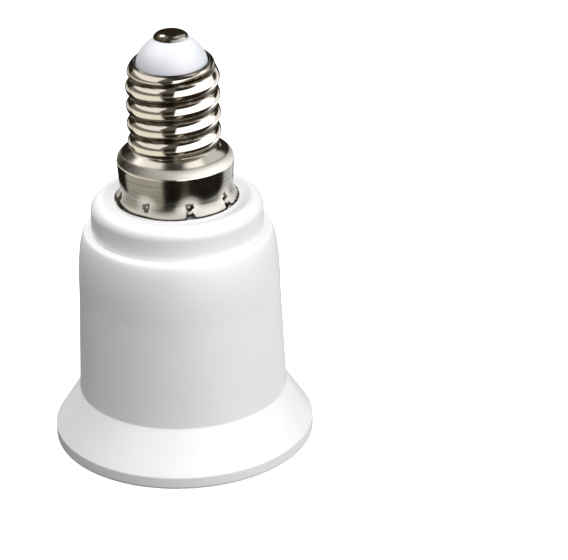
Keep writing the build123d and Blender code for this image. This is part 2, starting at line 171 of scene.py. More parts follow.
class NodeGraph:
    """A node tree that is filled by calls and expressions."""

    def __init__(self, tree: bpy.types.NodeTree) -> None:
        """Empties the node tree of a material or a world."""
        self.tree = tree
        tree.nodes.clear()

    def raw(self, kind: str, settings: Settings, feeds: Feeds) -> bpy.types.Node:
        """Adds one node of any type.

        Args:
            kind: The node's type.
            settings: Its settings, set first.
            feeds: Values or links for its input sockets, by name or place.

        Returns:
            The new node.
        """
        node = self.tree.nodes.new(kind)
        for name, value in settings.items():
            setattr(node, name, value)
        for key, feed in feeds.items():
            socket = node.inputs[key]
            if isinstance(feed, Signal):
                self.tree.links.new(feed.socket, socket)
            else:
                socket.default_value = feed
        return node

    def node(
        self,
        kind: str,
        settings: Settings | None = None,
        feeds: Feeds | None = None,
        out: Union[str, int] = 0,
    ) -> Signal:
        """Adds one node and wraps one of its outputs.

        Args:
            kind: The node's type.
            settings: Its settings, set first.
            feeds: Values or links for its input sockets.
            out: Name or place of the output to wrap.

        Returns:
            The wrapped output.
        """
        return Signal(self, self.raw(kind, settings or {}, feeds or {}).outputs[out])

    def axes(self, coordinates: str = "Object") -> tuple[Signal, Signal, Signal, Signal]:
        """The texture coordinate and its three parts.

        Args:
            coordinates: Name of the coordinate output.

        Returns:
            The vector and its x, y and z.
        """
        vector = self.node("ShaderNodeTexCoord", out=coordinates)
        parts = self.raw("ShaderNodeSeparateXYZ", {}, {0: vector})
        return (vector, *(Signal(self, parts.outputs[i]) for i in range(3)))

    def mark(self, name: str) -> Signal:
        """Wear, painted shade and painted dark reflection that a mesh holds at its points, from 0 to
        1.
        """
        return self.node("ShaderNodeAttribute", {"attribute_name": name}, {}, "Fac")

    def vector(self, x: Feed, y: Feed, z: Feed) -> Signal:
        """One vector from three values."""
        return self.node("ShaderNodeCombineXYZ", {}, {0: x, 1: y, 2: z})

    def noise(
        self, vector: Signal, scale: float, detail: float = 2.0, roughness: float = 0.5
    ) -> Signal:
        """Noise from 0 to 1.

        Args:
            vector: Where it is read.
            scale: Noise cells for each unit.
            detail: Octaves.
            roughness: Weight of the finer octaves.

        Returns:
            The noise value.
        """
        feeds = {"Vector": vector, "Scale": scale, "Detail": detail, "Roughness": roughness}
        return self.node("ShaderNodeTexNoise", {}, feeds)

    def blend(self, share: Operand, first: Feed, second: Feed) -> Signal:
        """Mixes two colours.

        Args:
            share: Share of the second colour.
            first: Colour at 0.
            second: Colour at 1.

        Returns:
            The mixed colour.
        """
        ends = (first, second)
        colours = [(*c, 1.0) if isinstance(c, tuple) and len(c) == 3 else c for c in ends]
        feeds = {0: share, 6: colours[0], 7: colours[1]}
        return self.node("ShaderNodeMix", {"data_type": "RGBA"}, feeds, out=2)

    def bump(self, height: Signal, strength: float, distance: float) -> Signal:
        """A normal bent by a height.

        Args:
            height: Height over the surface.
            strength: Share of the bend.
            distance: Height of one unit, in metres.

        Returns:
            The bent normal.
        """
        feeds = {"Strength": strength, "Distance": distance, "Height": height}
        return self.node("ShaderNodeBump", {}, feeds)


@dataclass(frozen=True)
class Finish:
    """A surface finish that becomes one material."""

    name: str

    def material(self) -> bpy.types.Material:
        """Makes the material.

        Returns:
            The new material.
        """
        made = bpy.data.materials.new(self.name)
        made.use_nodes = True
        graph = NodeGraph(made.node_tree)
        feeds = self.surface(graph)
        shader = graph.node("ShaderNodeBsdfPrincipled", {}, feeds)
        graph.raw("ShaderNodeOutputMaterial", {}, {"Surface": shader})
        return made

    def surface(self, graph: NodeGraph) -> dict[str, Feed]:
        """The shader's inputs.

        Args:
            graph: The material's graph.

        Returns:
            Values or signals by socket name.
        """
        raise NotImplementedError


@dataclass(frozen=True)
class GrainedFinish(Finish):
    """One material all over, clouded with a second colour under a fine grain."""

    colour: Colour = (0.8, 0.8, 0.8)
    cloud_colour: Colour = (0.7, 0.7, 0.7)
    roughness: float = 0.4
    soft_depth: float = 0.0
    softness: float = 0.3
    soft_colours: Colour = (1.0, 0.2, 0.1)
    metallic: float = 0.0
    cloud_scale: float = 300.0
    cloud_octaves: float = 3.0
    cloud_weight: float = 0.5
    cloud_reach: Pair = (0.4, 0.8)
    cloud_roughness: float = 0.08
    grain_scale: Triple = (3600.0, 3600.0, 3600.0)
    grain_octaves: float = 2.0
    grain_roughness: float = 0.0
    grain_strength: float = 0.3
    grain_height: float = 0.00001

    def dulling(self, cloud: Signal) -> Signal:
        """Share of the clouds' roughness at each place."""
        return cloud

    def surface(self, graph: NodeGraph) -> dict[str, Feed]:
        """The shader's inputs.

        Args:
            graph: The material's graph.

        Returns:
            Values or signals by socket name.
        """
        place, *axes = graph.axes()
        cloud = graph.noise(place, self.cloud_scale, self.cloud_octaves, self.cloud_weight)
        stretched = graph.vector(*(axis * scale for axis, scale in zip(axes, self.grain_scale)))
        grain = graph.noise(stretched, 1.0, self.grain_octaves)
        clouded = cloud.rise(*self.cloud_reach)
        rough = self.roughness + self.cloud_roughness * self.dulling(cloud)
        feeds: dict[str, Feed] = {
            "Base Color": graph.blend(clouded, self.colour, self.cloud_colour),
            "Roughness": rough + self.grain_roughness * grain,
            "Metallic": self.metallic,
            "Normal": graph.bump(grain, self.grain_strength, self.grain_height),
        }
        if self.soft_depth:
            feeds["Subsurface Weight"] = self.softness
            feeds["Subsurface Radius"] = self.soft_colours
            feeds["Subsurface Scale"] = self.soft_depth
        return feeds


@dataclass(frozen=True)
class MouldedPlastic(GrainedFinish):
    """Satin white moulding with faint flow marks and a fine skin."""

    cloud_colour: Colour = (0.76, 0.765, 0.775)
    roughness: float = 0.34
    soft_depth: float = 0.0012
    softness: float = 0.12
    soft_colours: Colour = (1.0, 0.95, 0.9)
    cloud_scale: float = 70.0
    cloud_reach: Pair = (0.45, 0.75)
    cloud_roughness: float = 0.06
    grain_scale: Triple = (2600.0, 2600.0, 2600.0)
    grain_octaves: float = 3.0
    grain_roughness: float = 0.05
    grain_strength: float = 0.35
    grain_height: float = 0.000012


@dataclass(frozen=True)
class PolishedMetal(GrainedFinish):
    """Small turned or pressed metal piece with fine scratches."""

    metallic: float = 1.0
    cloud_scale: float = 700.0
    cloud_octaves: float = 4.0
    cloud_weight: float = 0.6
    cloud_reach: Pair = (0.5, 0.8)
    cloud_roughness: float = 0.12
    dull_reach: Pair = (0.45, 0.8)
    grain_scale: Triple = (900.0, 5200.0, 900.0)
    grain_strength: float = 0.4
    grain_height: float = 0.000008

    def dulling(self, cloud: Signal) -> Signal:
        """Share of the clouds' roughness, which only the dense ones have."""
        return cloud.rise(*self.dull_reach)


@dataclass(frozen=True)
class PlatedSheet(Finish):
    """Bright nickel on drawn sheet, brushed, scuffed and tarnished where the mesh is marked; the
    brushed mark also paints a dark reflection into the colour, and the tarnish mark is mostly
    painted shade.
    """

    colour: Colour = (0.84, 0.80, 0.735)
    scuffed_colour: Colour = (0.92, 0.905, 0.865)
    # Dark colour where the brushed mark is full: a painted dark reflection on the skirt.
    painted_reflection_colour: Colour = (0.225, 0.222, 0.195)
    # Near-black colour of the tarnish mark: painted shade, partly tarnish.
    tarnish_and_painted_shade_colour: Colour = (0.050, 0.036, 0.018)
    roughness: float = 0.095
    satin_roughness: float = 0.58
    brushed_roughness: float = 0.06
    tarnish_roughness: float = 0.16
    stain_roughness: float = 0.06
    stain_reach: Pair = (0.5, 0.8)
    stain_scale: float = 520.0
    stain_relief: float = 0.5
    patch_least: float = 0.62
    patch_range: float = 0.76
    line_scale: Triple = (90.0, 90.0, 6500.0)
    line_octaves: float = 3.0
    line_weight: float = 0.6
    line_relief: float = 0.12
    brushed_relief: float = 0.6
    relief_strength: float = 0.35
    relief_height: float = 0.000016

    def surface(self, graph: NodeGraph) -> dict[str, Feed]:
        """The shader's inputs.

        Args:
            graph: The material's graph.

        Returns:
            Values or signals by socket name.
        """
        place, *axes = graph.axes()
        satin, brushed_and_painted_reflection, tarnish_and_painted_shade = (graph.mark(name) for name in ("satin", "brushed_and_painted_reflection", "tarnish_and_painted_shade"))
        stain = graph.noise(place, self.stain_scale, detail=4.0, roughness=0.6)
        drawn = graph.vector(*(axis * scale for axis, scale in zip(axes, self.line_scale)))
        lines = graph.noise(drawn, 1.0, self.line_octaves, self.line_weight)
        # Painted shade, partly tarnish, made patchy by the noise.
        patchy = (tarnish_and_painted_shade * (self.patch_least + self.patch_range * stain)).at_most(1.0)
        streaky = brushed_and_painted_reflection * (self.patch_least + self.patch_range * lines)
        dulled = graph.blend(satin, self.colour, self.scuffed_colour)
        # Painted dark reflection: the brushed streaks darken the sheet's colour.
        sheet = graph.blend(streaky.at_most(1.0), dulled, self.painted_reflection_colour)
        rough = self.roughness + self.satin_roughness * satin + self.brushed_roughness * streaky
        rough = rough + self.tarnish_roughness * patchy
        relief = lines * (self.line_relief + self.brushed_relief * brushed_and_painted_reflection)
        relief = relief + self.stain_relief * stain
        return {
            # The painted shade darkens the base colour here.
            "Base Color": graph.blend(patchy, sheet, self.tarnish_and_painted_shade_colour),
            "Roughness": rough + self.stain_roughness * stain.rise(*self.stain_reach),
            "Metallic": 1.0,
            "Normal": graph.bump(relief, self.relief_strength, self.relief_height),
        }


@dataclass(frozen=True)
class NickelWithPaintedShade(PlatedSheet):
    """Dull nickel of the contact nail, scratched across; where the mesh is marked, painted shade
    browns the head's rim.
    """

    colour: Colour = (0.74, 0.735, 0.70)
    # Brown-black painted shade for the head's rim.
    tarnish_and_painted_shade_colour: Colour = (0.075, 0.055, 0.030)
    roughness: float = 0.14
    tarnish_roughness: float = 0.12
    stain_roughness: float = 0.10
    stain_reach: Pair = (0.45, 0.8)
    stain_scale: float = 900.0
    stain_relief: float = 0.0
    patch_least: float = 0.7
    patch_range: float = 0.6
    line_scale: Triple = (5200.0, 900.0, 900.0)
    line_octaves: float = 2.0
    line_weight: float = 0.5
    line_relief: float = 1.0
    relief_strength: float = 0.3
    relief_height: float = 0.000006


def turn_angles(columns: int) -> np.ndarray:
    """Even angles round an axis, in radians."""
    return np.linspace(0, 2 * math.pi, columns, endpoint=False)


@dataclass
class MeshMaker:
    """Points and faces gathered for one mesh."""

    points: list[np.ndarray] = field(default_factory=list)
    faces: list[tuple[int, ...]] = field(default_factory=list)
    marks: dict[str, list[np.ndarray]] = field(default_factory=dict)
    count: int = 0

    def grid(self, places: np.ndarray, closed: bool, marks: Marks | None = None) -> np.ndarray:
        """Adds a grid of quads.

        Args:
            places: Points as rows, columns and three axes.
            closed: Whether the last column joins the first.
            marks: Wear, painted shade and painted dark reflection at each point, by name, for the
                finish to read.

        Returns:
            The points' numbers as rows and columns.
        """
        rows, columns, _ = places.shape
        numbers = np.arange(rows * columns).reshape(rows, columns) + self.count
        self.points.append(places.reshape(-1, 3))
        self.count += rows * columns
        for name, values in (marks or {}).items():
            self.marks.setdefault(name, []).append(values.ravel())
        for low, high in zip(numbers[:-1], numbers[1:]):
            self.strip(low, high, closed)
        return numbers

    def revolve(self, profile: np.ndarray, columns: int, marks: Marks | None = None) -> None:
        """Adds a half outline turned round the Z axis.

        Args:
            profile: Radius and height of each point, in millimetres.
            columns: Points round the axis.
            marks: Wear, painted shade and painted dark reflection at each point, by name.
        """
        angle = turn_angles(columns)
        radius, height = (part[:, None] for part in profile.T)
        places = np.broadcast_arrays(radius * np.cos(angle), radius * np.sin(angle), height)
        self.grid(np.stack(places, axis=-1) * MM, True, marks)

    def strip(self, low: np.ndarray, high: np.ndarray, closed: bool) -> None:
        """Joins two rows of points with quads.

        Args:
            low: Numbers of the first row.
            high: Numbers of the second row.
            closed: Whether the last column joins the first.
        """
        last = len(low) if closed else len(low) - 1
        for i in range(last):
            j = (i + 1) % len(low)
            self.faces.append((int(low[i]), int(low[j]), int(high[j]), int(high[i])))

    def build(self, name: str, finish: Finish, sharp_angle: float = 40.0) -> bpy.types.Object:
        """Makes the object.

        Args:
            name: The piece's name.
            finish: Its finish.
            sharp_angle: Angle in degrees from which an edge stays sharp.

        Returns:
            The new object, in the scene.
        """
        mesh = bpy.data.meshes.new(name)
        mesh.from_pydata(np.vstack(self.points).tolist(), [], self.faces)
        for mark, values in self.marks.items():
            layer = mesh.attributes.new(mark, "FLOAT", "POINT")
            layer.data.foreach_set("value", np.concatenate(values).astype(np.float32))
        work = bmesh.new()
        work.from_mesh(mesh)
        bmesh.ops.remove_doubles(work, verts=work.verts, dist=1e-8)
        bmesh.ops.recalc_face_normals(work, faces=work.faces)
        work.to_mesh(mesh)
        work.free()
        mesh.polygons.foreach_set("use_smooth", [True] * len(mesh.polygons))
        mesh.set_sharp_from_angle(angle=math.radians(sharp_angle))
        mesh.materials.append(finish.material())
        piece = bpy.data.objects.new(name, mesh)
        bpy.context.scene.collection.objects.link(piece)
        return piece


@dataclass(frozen=True)
class EdisonThread:
    """Rolled right-hand thread, in millimetres: wide arcs at the crest, tight ones at the root."""

    crest: float
    root: float
    pitch: float
    crest_on_x: float
    crest_share: float = 0.80

    def above_crest(self, height: np.ndarray, angle: np.ndarray) -> np.ndarray:
        """Distance above the nearest crest, in pitches, from -0.5 to 0.5."""
        turn = (height - self.crest_on_x) / self.pitch - angle / (2 * math.pi)
        return turn - np.round(turn)

    def radius(self, height: np.ndarray, angle: np.ndarray) -> np.ndarray:
        """Radius of the outer face.

        Args:
            height: Heights along the axis.
            angle: Angles round the axis from +X, in radians.

        Returns:
            The radius at each place.
        """
        depth = self.crest - self.root
        both = ((self.pitch / 2) ** 2 + depth**2) / (2 * depth)
        wide, tight = both * self.crest_share, both * (1 - self.crest_share)
        along = np.abs(self.above_crest(height, angle)) * self.pitch
        near_crest = self.crest - wide + np.sqrt(np.maximum(wide**2 - along**2, 0.0))
        to_root = self.pitch / 2 - along
        near_root = self.root + tight - np.sqrt(np.maximum(tight**2 - to_root**2, 0.0))
        return np.where(along < self.pitch / 2 * self.crest_share, near_crest, near_root)


def smooth_larger(first: np.ndarray, second: np.ndarray, soft: float) -> np.ndarray:
    """The larger of two values, with a rounded change-over of a soft width."""
    share = np.clip(0.5 + (first - second) / (2 * soft), 0.0, 1.0)
    return second + (first - second) * share + soft * share * (1 - share)


def step(value: np.ndarray, low: float, high: float) -> np.ndarray:
    """Smooth step from 0 at low to 1 at high."""
    share = np.clip((value - low) / (high - low), 0.0, 1.0)
    return share * share * (3 - 2 * share)


def bell(value: np.ndarray, width: float) -> np.ndarray:
    """Bell curve that is 1 at 0 and falls off over the width."""
    return np.exp(-((value / width) ** 2))


@dataclass(frozen=True)
class Fade:
    """A smooth change between two places, counted from a level."""

    start: float
    end: float

    def rise(self, place: np.ndarray) -> np.ndarray:
        """Share from 0 at the start to 1 at the end."""
        return step(place, self.start, self.end)

    def fall(self, place: np.ndarray) -> np.ndarray:
        """Share from 1 at the start to 0 at the end."""
        return 1 - self.rise(place)


@dataclass(frozen=True)
class Spots:
    """Places on the cap's sheet, in millimetres and radians, and from the nearest crimp."""

    height: np.ndarray
    angle: np.ndarray
    across: np.ndarray
    up: np.ndarray
    crimp: np.ndarray


@dataclass(frozen=True)
class Crimp:
    """One pricked crimp, in millimetres: a shallow dent round a ragged pit with a burr."""

    dent: float = 0.16
    dent_across: float = 1.5
    dent_up: float = 1.4
    pit: float = 0.36
    pit_radius: float = 0.58
    core: float = 0.26
    core_radius: float = 0.24
    burr: float = 0.04
    burr_radius: float = 0.70
    burr_width: float = 0.12
    ragged_wide: float = 0.17
    ragged_fine: float = 0.09

    def distance(self, spots: Spots) -> np.ndarray:
        """Distance from the centre of the nearest crimp's ragged pit."""
        around = np.arctan2(spots.up, spots.across)
        wide = self.ragged_wide * np.sin(3 * around + 1.7 * spots.crimp)
        fine = self.ragged_fine * np.sin(7 * around + spots.crimp)
        return np.hypot(spots.across, spots.up) * (1 + wide + fine)

    def offset(self, spots: Spots) -> np.ndarray:
        """How far the nearest crimp moves the sheet outwards.

        Args:
            spots: Places on the sheet.

        Returns:
            Radial offset at each place.
        """
        hole = self.distance(spots)
        dent = self.dent * bell(spots.across, self.dent_across) * bell(spots.up, self.dent_up)
        pit = self.pit * (1 - step(hole, self.core_radius, self.pit_radius))
        core = self.core * bell(hole, self.core_radius)
        burr = self.burr * bell(hole - self.burr_radius, self.burr_width)
        return burr - dent - pit + core


@dataclass(frozen=True)
class Hem:
    """The skirt's lower edge, in millimetres: torn at the crimps, waved and nicked."""

    tears: tuple[float, ...] = (0.12, 0.45, 0.0, 0.30, 0.45, 0.0, 0.52, 0.50)
    tear_width: Fade = Fade(0.22, 0.66)
    wobble_wide: float = 0.08
    wobble_fine: float = 0.06
    gap: float = 0.02
    pull: float = 0.05
    pull_across: float = 1.2
    wave: float = 0.02
    nick: float = 0.14
    nick_azimuth: float = 353.0
    nick_spread: float = 0.2

    def nicks(self, angle: np.ndarray) -> np.ndarray:
        """Small nicks in one stretch of the edge, from 0 to 1."""
        turn = angle - math.radians(self.nick_azimuth) + math.pi
        stretch = bell(np.remainder(turn, 2 * math.pi) - math.pi, self.nick_spread)
        return stretch * (0.5 + 0.5 * np.sin(60 * angle))

    def lift(self, spots: Spots) -> np.ndarray:
        """How far the edge stands above the housing.

        Args:
            spots: Places on the sheet.

        Returns:
            Lift at each place's angle.
        """
        angle = spots.angle
        wobble = self.wobble_wide * np.sin(31 * angle) + self.wobble_fine * np.sin(83 * angle)
        torn = np.array(self.tears)[spots.crimp.astype(int)]
        lift = self.gap + self.pull * bell(spots.across, self.pull_across)
        lift = lift + self.wave * np.sin(5 * angle + 0.4)
        lift = lift + torn * self.tear_width.fall(np.abs(spots.across + wobble))
        return lift + self.nick * self.nicks(angle)


@dataclass(frozen=True)
class PlatingWear:
    """Where the cap's plating is scuffed, brushed and tarnished, and where painted shade and a
    painted dark reflection darken it.

    Fades are counted in millimetres from the level that they are used at, those of the flanks in
    pitches from the crest. Azimuths are in degrees and their spreads in radians.
    """

    scuff: Fade = Fade(0.06, 1.0)
    scuff_across: float = 1.75
    scuff_up: float = 1.9
    hem_scuff: Fade = Fade(-1.0, 0.6)
    collar_share: float = 0.85
    collar_start: Fade = Fade(0.08, 0.2)
    collar_edge: Fade = Fade(-0.03, 0.06)
    collar_edge_share: float = 0.90
    collar_end: Fade = Fade(-0.1, 0.3)
    brush_end: Fade = Fade(-0.12, -0.04)
    # The painted dark reflection of the brushed zone fades out towards the skirt's top.
    fade_up_start: float = 1.5
    fade_up_share: float = 0.16
    # Painted shade on the thread's downward lower flanks and in its roots.
    flank_share: float = 0.96
    flank_under: Fade = Fade(0.13, 0.21)
    flank_over: Fade = Fade(0.385, 0.425)
    thread_start: Fade = Fade(-0.18, 0.1)
    thread_end: Fade = Fade(-1.3, -0.95)
    climb: float = 0.7
    climb_azimuth: float = 322.0
    climb_spread: float = 0.75
    # Painted shade in a ring inside each crimp pit.
    pit_inside: Fade = Fade(0.16, 0.32)
    pit_outside: Fade = Fade(0.52, 0.74)
    pit_share: float = 0.85
    # A darker patch on the left side of the collar.
    darker_left_share: float = 0.93
    darker_left_azimuth: float = 208.0
    darker_left_spread: float = 0.60
    darker_left_low: Fade = Fade(0.1, 0.3)
    darker_left_high: Fade = Fade(-0.1, 0.12)
    # Painted shade along the hem's edge, wider at tears and nicks, and widest on the left.
    edge_share: float = 0.95
    edge: Fade = Fade(-0.12, 0.02)
    edge_reach: float = 0.22
    torn_reach: float = 0.22
    torn_most: float = 1.6
    nick_reach: float = 0.25
    left_shade_reach: float = 0.30
    left_shade_azimuth: float = 200.0
    left_shade_spread: float = 0.4
    # Painted shade where the lip meets the dome.
    seam_share: float = 0.9
    seam: Fade = Fade(-0.26, -0.10)
    # Painted shade in the collar's crease.
    crease_share: float = 0.5
    crease_above: float = 0.06
    crease_width: float = 0.07


@dataclass
class ScrewCap:
    """Nickel screw cap, in millimetres: thread, collar, crimped skirt and torn hem."""

    thread: EdisonThread = EdisonThread(crest=6.88, root=6.20, pitch=2.822, crest_on_x=57.29)
    crimp: Crimp = Crimp()
    hem: Hem = Hem()
    worn: PlatingWear = PlatingWear()
    plate: PlatedSheet = PlatedSheet("cap_nickel_plate")
    sheet: float = 0.25
    hem_level: float = 38.5
    hem_flare: float = 1.05
    hem_wave: float = 0.02
    hem_wave_end: Fade = Fade(-0.2, 1.2)
    flare_level: float = 40.7
    flare_power: float = 2.4
    lift_reach: float = 0.5
    lift_power: float = 1.5
    crimps: int = 8
    crimp_azimuth: float = 15.0
    crimp_level: float = 39.75
    crimp_slant: float = 0.3
    slant_azimuth: float = 320.0
    skirt_level: float = 44.5
    skirt_radius: float = 8.60
    skirt_lean: float = 0.045
    skirt_curve: float = 0.004
    bead: float = 0.035
    bead_width: float = 0.11
    edge_level: float = 45.8
    edge_radius: float = 7.87
    cone_level: float = 46.9
    cone_reach: float = 1.2
    cone_blend: float = 0.22
    fade_level: float = 57.3
    fade_length: float = 1.7
    fade_share: float = 0.62
    top_level: float = 59.4
    mouth_radius: float = 5.55
    lip_slope: float = 0.78
    lip_round: float = 0.26
    lip_round_reach: float = 0.2
    lip_blend: float = 0.30
    lip_raise: float = 0.46
    lip_turn: float = 0.2
    lip_thinning: float = 0.4
    inner_drop: float = 0.7
    columns_per_crimp: int = 46
    even_columns: float = 0.4
    rows: tuple[int, ...] = (11, 28, 12, 10, 18, 96)
    rows_below_crimp: float = 0.6
    rows_above_crimp: float = 0.7
    rows_at_bend: float = 0.3
    inner_row_step: int = 3

    def angles(self) -> np.ndarray:
        """Column angles, closer together at the crimps.

        Returns:
            Angles in radians.
        """
        half = math.pi / self.crimps
        place = np.linspace(-1, 1, self.columns_per_crimp, endpoint=False)
        spread = half * (self.even_columns * place + (1 - self.even_columns) * place**3)
        centres = math.radians(self.crimp_azimuth) + 2 * half * np.arange(self.crimps)
        return (centres[:, None] + spread[None, :]).ravel()

    def levels(self) -> np.ndarray:
        """Row heights, closer together where the outline bends.

        Returns:
            Heights from the hem up.
        """
        ends = (
            self.hem_level,
            self.crimp_level - self.rows_below_crimp,
            self.crimp_level + self.rows_above_crimp,
            self.skirt_level - self.rows_at_bend,
            self.skirt_level + self.rows_at_bend,
            self.cone_level,
            self.top_level,
        )
        stretches = zip(ends, ends[1:], self.rows)
        runs = [np.linspace(low, high, rows, endpoint=False) for low, high, rows in stretches]
        return np.concatenate((*runs, [self.top_level]))

    def spots(self) -> Spots:
        """Places of the whole sheet, as rows from the hem up and columns round the axis.

        Returns:
            The places, each with its nearest crimp.
        """
        angle, height = np.meshgrid(self.angles(), self.levels())
        share = (angle - math.radians(self.crimp_azimuth)) * self.crimps / (2 * math.pi)
        number = np.round(share)
        across = (share - number) * 2 * math.pi / self.crimps * self.skirt_radius
        slant = self.crimp_slant * np.cos(angle - math.radians(self.slant_azimuth))
        up = height - (self.crimp_level + slant)
        return Spots(height, angle, across, up, number % self.crimps)

    def skirt_outline(self, height: np.ndarray) -> np.ndarray:
        """Radius of the skirt and the collar below the thread, away from the crimps.

        Args:
            height: Heights along the axis.

        Returns:
            The radius at each height.
        """
        flare = (self.flare_level - height) / (self.flare_level - self.hem_level)
        flare = self.hem_flare * np.clip(flare, 0.0, 1.0) ** self.flare_power
        drop = np.clip(self.skirt_level - height, 0.0, None)
        side = self.skirt_radius - self.skirt_lean * drop - self.skirt_curve * drop**2 + flare
        inset = self.skirt_radius - self.edge_radius
        rise = self.edge_level - self.skirt_level
        arc = (inset**2 + rise**2) / (2 * inset)
        above = np.clip(height - self.skirt_level, 0.0, rise)
        edge = self.skirt_radius - arc + np.sqrt(arc**2 - above**2)
        slope = (self.edge_radius - self.thread.root) / (self.cone_level - self.edge_level)
        land = self.edge_radius - slope * (height - self.edge_level)
        bead = self.bead * bell(height - self.skirt_level, self.bead_width)
        collar = np.where(height < self.edge_level, edge, land)
        return np.where(height < self.skirt_level, side, collar) + bead

    def outline(self, height: np.ndarray, angle: np.ndarray) -> np.ndarray:
        """Radius of the outer face before the crimps.

        Args:
            height: Heights along the axis.
            angle: Angles round the axis.

        Returns:
            The radius at each place.
        """
        skirt = self.skirt_outline(height)
        fade_end = self.fade_level + self.fade_length
        fade = 1 - self.fade_share * step(height, self.fade_level, fade_end)
        root = self.thread.root
        thread = root + (self.thread.radius(height, angle) - root) * fade
        collar = smooth_larger(skirt, thread, self.cone_blend)
        drop = np.clip(self.top_level - height, 0.0, None)
        rounding = self.lip_round * (1 - np.exp(-drop / self.lip_round_reach))
        lip = self.mouth_radius + self.lip_slope * drop + rounding
        thread = np.maximum(-smooth_larger(-thread, -lip, self.lip_blend), self.mouth_radius)
        outline = np.where(height < self.cone_level + self.cone_reach, collar, thread)
        return np.where(height < self.edge_level, skirt, outline)

    def crimp_offsets(self, spots: Spots) -> np.ndarray:
        """How far the crimps and the hem's waves move the sheet outwards."""
        low = self.hem_wave_end.fall(spots.height - self.crimp_level)
        return self.crimp.offset(spots) + self.hem_wave * low * np.sin(3 * spots.angle + 0.6)

    def tarnish_and_painted_shade(self, spots: Spots, lift: np.ndarray, lifted: np.ndarray) -> np.ndarray:
        """Painted shade, partly tarnish: on the thread's lower flanks and roots, in the crimp pits,
        along the hem, at the top seam and in the collar's crease; also a darker patch on the
        collar's left.

        Args:
            spots: Places on the sheet.
            lift: The hem's lift at each place.
            lifted: Heights with that lift.

        Returns:
            Share of painted shade and tarnish at each place.
        """
        height, angle = spots.height, spots.angle
        worn = self.worn
        turned = angle % (2 * math.pi)
        below = -self.thread.above_crest(height, angle)
        # Painted shade on the lower flanks and in the roots, which face down.
        flank = np.maximum(worn.flank_under.rise(below), worn.flank_over.rise(-below))
        flank = flank * worn.thread_start.rise(height - self.cone_level)
        away = (turned - math.radians(worn.climb_azimuth)) / worn.climb_spread
        climb = worn.climb * np.exp(-(away**4))
        flank = flank * worn.thread_end.fall(height - climb - self.top_level)
        hole = self.crimp.distance(spots)
        around = np.arctan2(spots.up, spots.across)
        uneven = (1 - worn.pit_share) * np.cos(around + 0.9 + spots.crimp)
        # Painted shade in a ring inside each crimp pit.
        pitted = worn.pit_inside.rise(hole) * worn.pit_outside.fall(hole)
        pitted = pitted * (worn.pit_share + uneven)
        # A darker patch on the collar's left side.
        darker_left = bell(turned - math.radians(worn.darker_left_azimuth), worn.darker_left_spread)
        darker_left = darker_left * worn.darker_left_low.rise(height - self.skirt_level)
        darker_left = darker_left * worn.darker_left_high.fall(height - self.edge_level)
        # Painted shade: the hem's dark line is wider on the left.
        shade_on_left = bell(turned - math.radians(worn.left_shade_azimuth), worn.left_shade_spread)
        torn = np.abs(np.gradient(lift, axis=1)) / np.gradient(angle, axis=1)
        torn = np.clip(torn / self.skirt_radius, 0.0, worn.torn_most)
        reach = worn.edge_reach + worn.torn_reach * torn
        reach = reach + worn.left_shade_reach * shade_on_left + worn.nick_reach * self.hem.nicks(angle)
        # Painted shade along the hem's edge.
        edge = worn.edge.fall(lifted - lifted[0] - reach)
        # Painted shade where the lip meets the dome.
        seam = worn.seam.rise(height - self.top_level)
        # Painted shade in the collar's crease.
        crease = bell(height - self.edge_level - worn.crease_above, worn.crease_width)
        shares = (
            worn.flank_share * flank,
            pitted,
            worn.edge_share * edge,
            worn.seam_share * seam,
            worn.darker_left_share * darker_left,
            worn.crease_share * crease,
        )
        return np.maximum.reduce(shares)

    def wear(self, spots: Spots, lift: np.ndarray, lifted: np.ndarray) -> dict[str, np.ndarray]:
        """Wear of the plating, with painted shade and a painted dark reflection, for the finish to
        read.

        Args:
            spots: Places on the sheet.
            lift: The hem's lift at each place.
            lifted: Heights with that lift.

        Returns:
            Satin, brushed and tarnished shares at each place; the brushed share also paints a dark
            reflection and the tarnished share is mostly painted shade.
        """
        worn, height = self.worn, spots.height
        near = bell(spots.across, worn.scuff_across) * bell(spots.up, worn.scuff_up)
        near = worn.scuff.rise(near)
        low = worn.hem_scuff.fall(height - self.crimp_level)
        scuffed = 1 - (1 - near) * (1 - low)
        collar = worn.collar_start.rise(height - self.skirt_level)
        edge = worn.collar_edge_share * worn.collar_edge.rise(height - self.edge_level)
        collar = collar * (1 - edge) * worn.collar_end.fall(height - self.cone_level)
        # The brushed zone's colour is a painted dark reflection on the skirt.
        brushed_and_painted_reflection = worn.brush_end.fall(height - self.skirt_level) * (1 - scuffed)
        # Fades the painted dark reflection out towards the skirt's top.
        fading_up = step(height, self.crimp_level + worn.fade_up_start, self.skirt_level)
        return {
            "satin": np.maximum(scuffed, worn.collar_share * collar),
            "brushed_and_painted_reflection": brushed_and_painted_reflection * (1 - worn.fade_up_share * fading_up),
            "tarnish_and_painted_shade": self.tarnish_and_painted_shade(spots, lift, lifted),
        }

